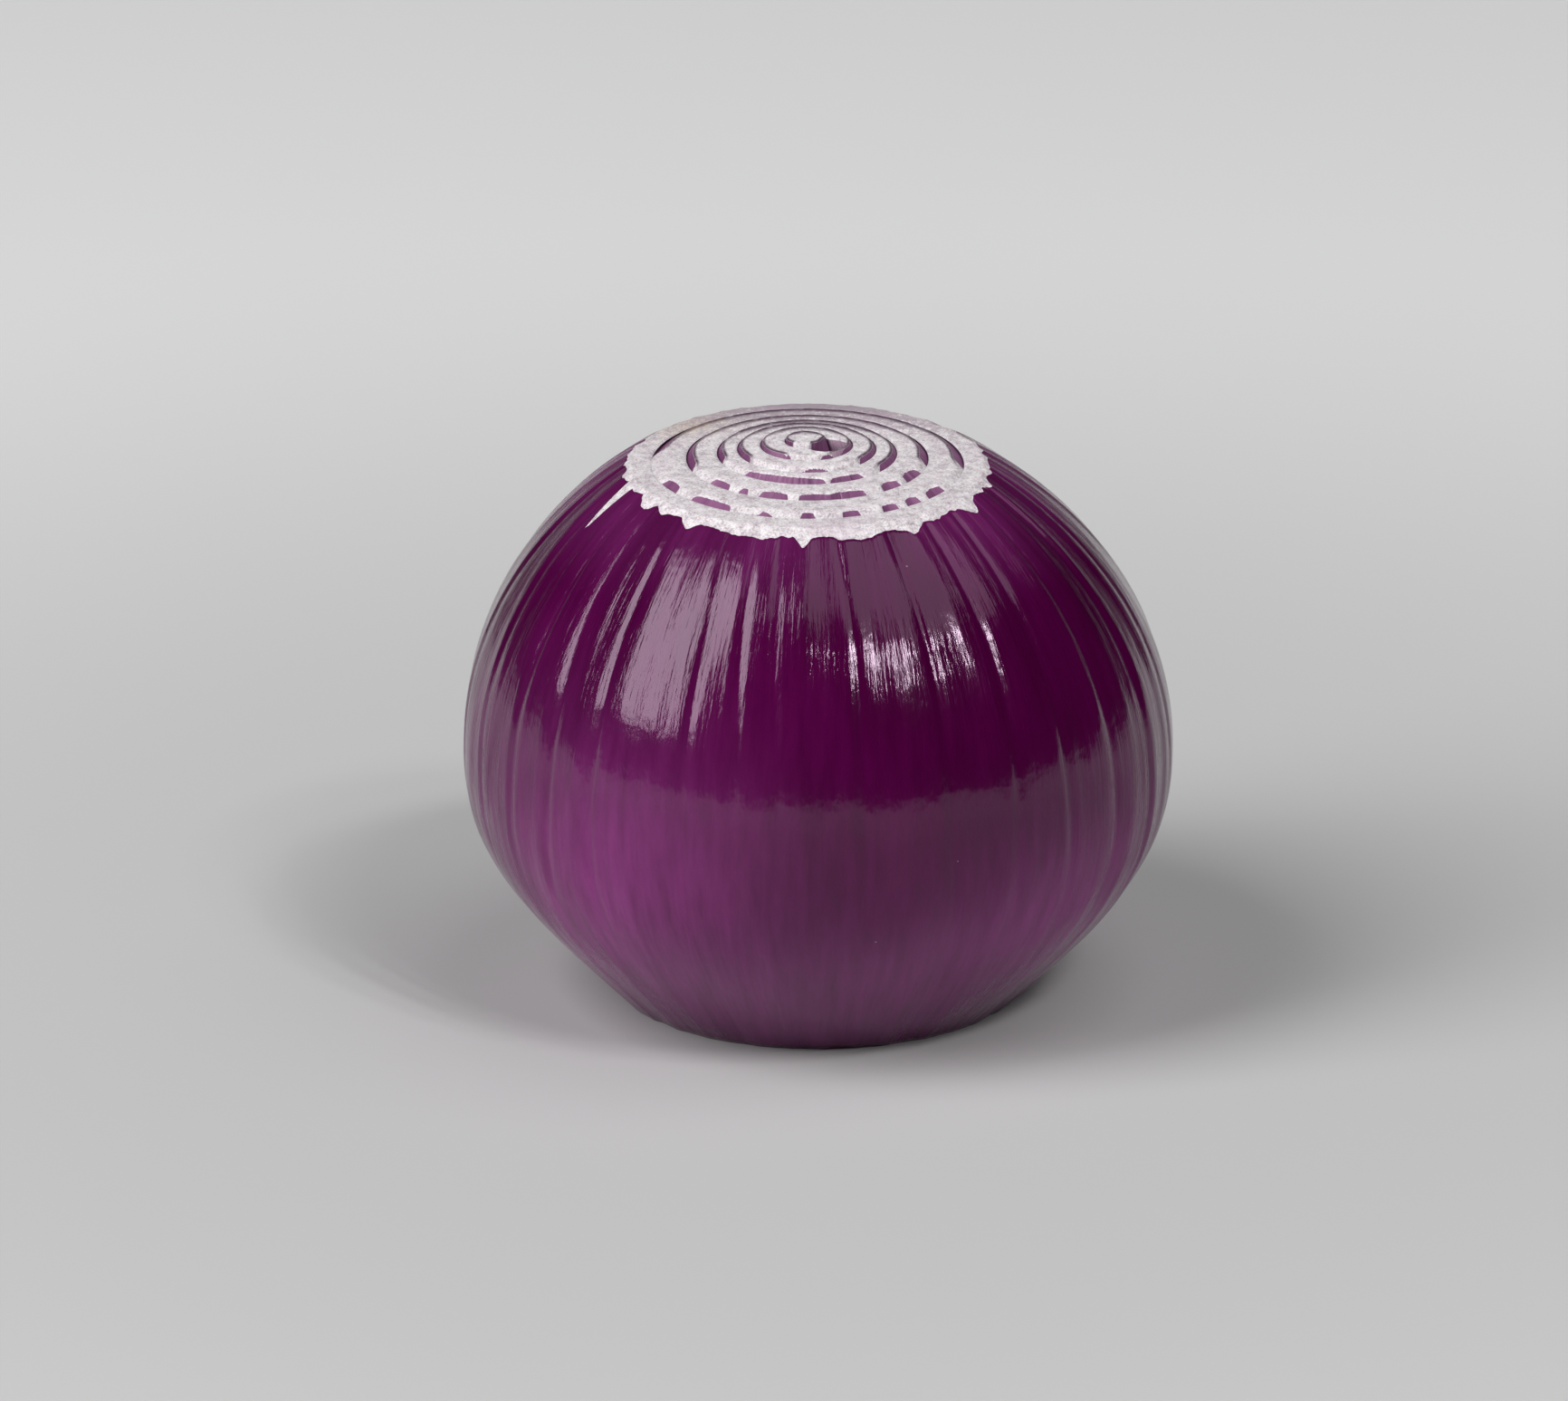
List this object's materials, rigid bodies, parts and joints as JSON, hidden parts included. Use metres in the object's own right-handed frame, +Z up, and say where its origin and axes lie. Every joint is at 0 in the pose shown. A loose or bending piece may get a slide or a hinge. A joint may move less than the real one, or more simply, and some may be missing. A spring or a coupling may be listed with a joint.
{
  "type": "peeled red onion",
  "caption": "Peeled red onion standing on its trimmed root end, with the neck sliced off so that its nested scales show as rings.",
  "frame": {"origin": "on the bulb's axis, in the plane of the trimmed foot that it stands on", "axes": "+Z up the bulb towards the neck, -Y towards the side the neck's cut dips to, +X to the right seen from there"},
  "size_m": [0.076, 0.076, 0.0606],
  "materials": {
    "purple_skin": "glossy, waxy deep purple skin with fine lengthwise veins",
    "onion_flesh": "moist white flesh with a faint lilac tint and a purple skin on its outer side",
    "root_plate": "dry, fibrous cream-brown cut stem"
  },
  "bodies": {
    "root": {"outer_scale": "purple_skin", "second_scale": "onion_flesh", "third_scale": "onion_flesh", "fourth_scale": "onion_flesh", "fifth_scale": "onion_flesh", "sixth_scale": "onion_flesh", "bud": "onion_flesh", "root_plate": "root_plate"}
  },
  "joints": []
}
